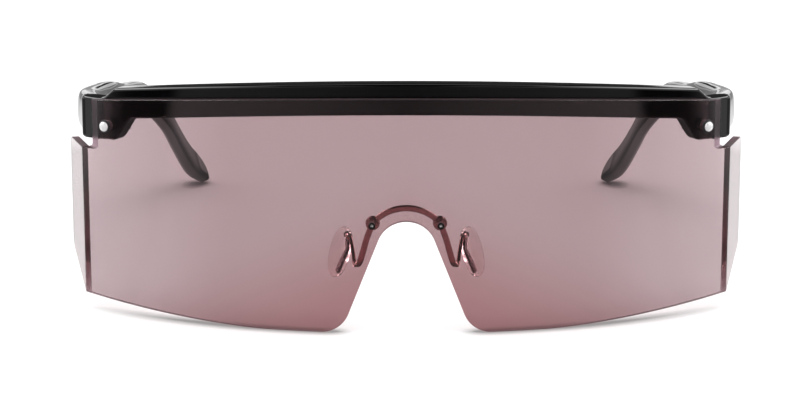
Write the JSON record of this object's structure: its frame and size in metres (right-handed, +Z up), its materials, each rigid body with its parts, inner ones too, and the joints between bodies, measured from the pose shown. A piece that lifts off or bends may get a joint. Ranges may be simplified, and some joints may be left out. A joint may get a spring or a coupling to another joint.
{
  "type": "wraparound sunglasses",
  "caption": "Wraparound sunglasses: a rose tinted shield lens with side wings, a black brow bar, metal bridge, clear nose pads and folding temples.",
  "frame": {"origin": "centre of the footprint of the open sunglasses, on the surface that they stand on", "axes": "+X to the wearer's left, +Y from the lens back along the temples, +Z up"},
  "size_m": [0.1538, 0.1499, 0.0549],
  "materials": {
    "black_acetate": "polished black acetate",
    "rose_lens": "clear polished polycarbonate with a rose tint",
    "bridge_metal": "polished metal",
    "steel": "plain stainless steel",
    "polished_silver": "polished silver dome",
    "dark_ring": "blackened washer and small screws",
    "clear_nylon": "clear nylon",
    "clear_silicone": "clear soft silicone"
  },
  "bodies": {
    "front": {"brow_bar": "black_acetate", "shield_lens": "rose_lens", "bridge": "bridge_metal", "bridge_screw_left": "dark_ring", "bridge_screw_right": "dark_ring", "bridge_washer_left": "clear_nylon", "bridge_washer_right": "clear_nylon", "bridge_nut_left": "bridge_metal", "bridge_nut_right": "bridge_metal", "lens_screw_left": "polished_silver", "lens_screw_right": "polished_silver", "lens_washer_left": "dark_ring", "lens_washer_right": "dark_ring", "lens_bushing_left": "clear_nylon", "lens_bushing_right": "clear_nylon", "lens_nut_left": "steel", "lens_nut_right": "steel", "hinge_leaf_front_left": "steel", "hinge_leaf_front_right": "steel", "hinge_screw_left": "steel", "hinge_screw_right": "steel", "pad_screw_left": "steel", "pad_screw_right": "steel"},
    "temple_left": {"temple_left": "black_acetate", "temple_core_left": "steel", "hinge_leaf_temple_left": "steel", "leaf_screw_left_1": "steel", "leaf_screw_left_2": "steel"},
    "temple_right": {"temple_right": "black_acetate", "temple_core_right": "steel", "hinge_leaf_temple_right": "steel", "leaf_screw_right_1": "steel", "leaf_screw_right_2": "steel"},
    "pad_left": {"pad_insert_left": "bridge_metal", "nose_pad_left": "clear_silicone"},
    "pad_right": {"pad_insert_right": "bridge_metal", "nose_pad_right": "clear_silicone"}
  },
  "joints": [
    {"name": "temple_fold_left", "type": "hinge", "parent": "front", "child": "temple_left", "pos_m": [0.0656, -0.04691, 0.0433], "axis": [0, 0, 1], "range_deg": [0, 88]},
    {"name": "temple_fold_right", "type": "hinge", "parent": "front", "child": "temple_right", "pos_m": [-0.0656, -0.04691, 0.0433], "axis": [0, 0, -1], "range_deg": [0, 80]},
    {"name": "pad_rock_left", "type": "hinge", "parent": "front", "child": "pad_left", "pos_m": [0.01256, -0.06467, 0.01974], "axis": [-0.4545, -0.8829, -0.1175], "range_deg": [-8, 8]},
    {"name": "pad_rock_right", "type": "hinge", "parent": "front", "child": "pad_right", "pos_m": [-0.01256, -0.06467, 0.01974], "axis": [0.4545, -0.8829, -0.1175], "range_deg": [-8, 8]}
  ]
}
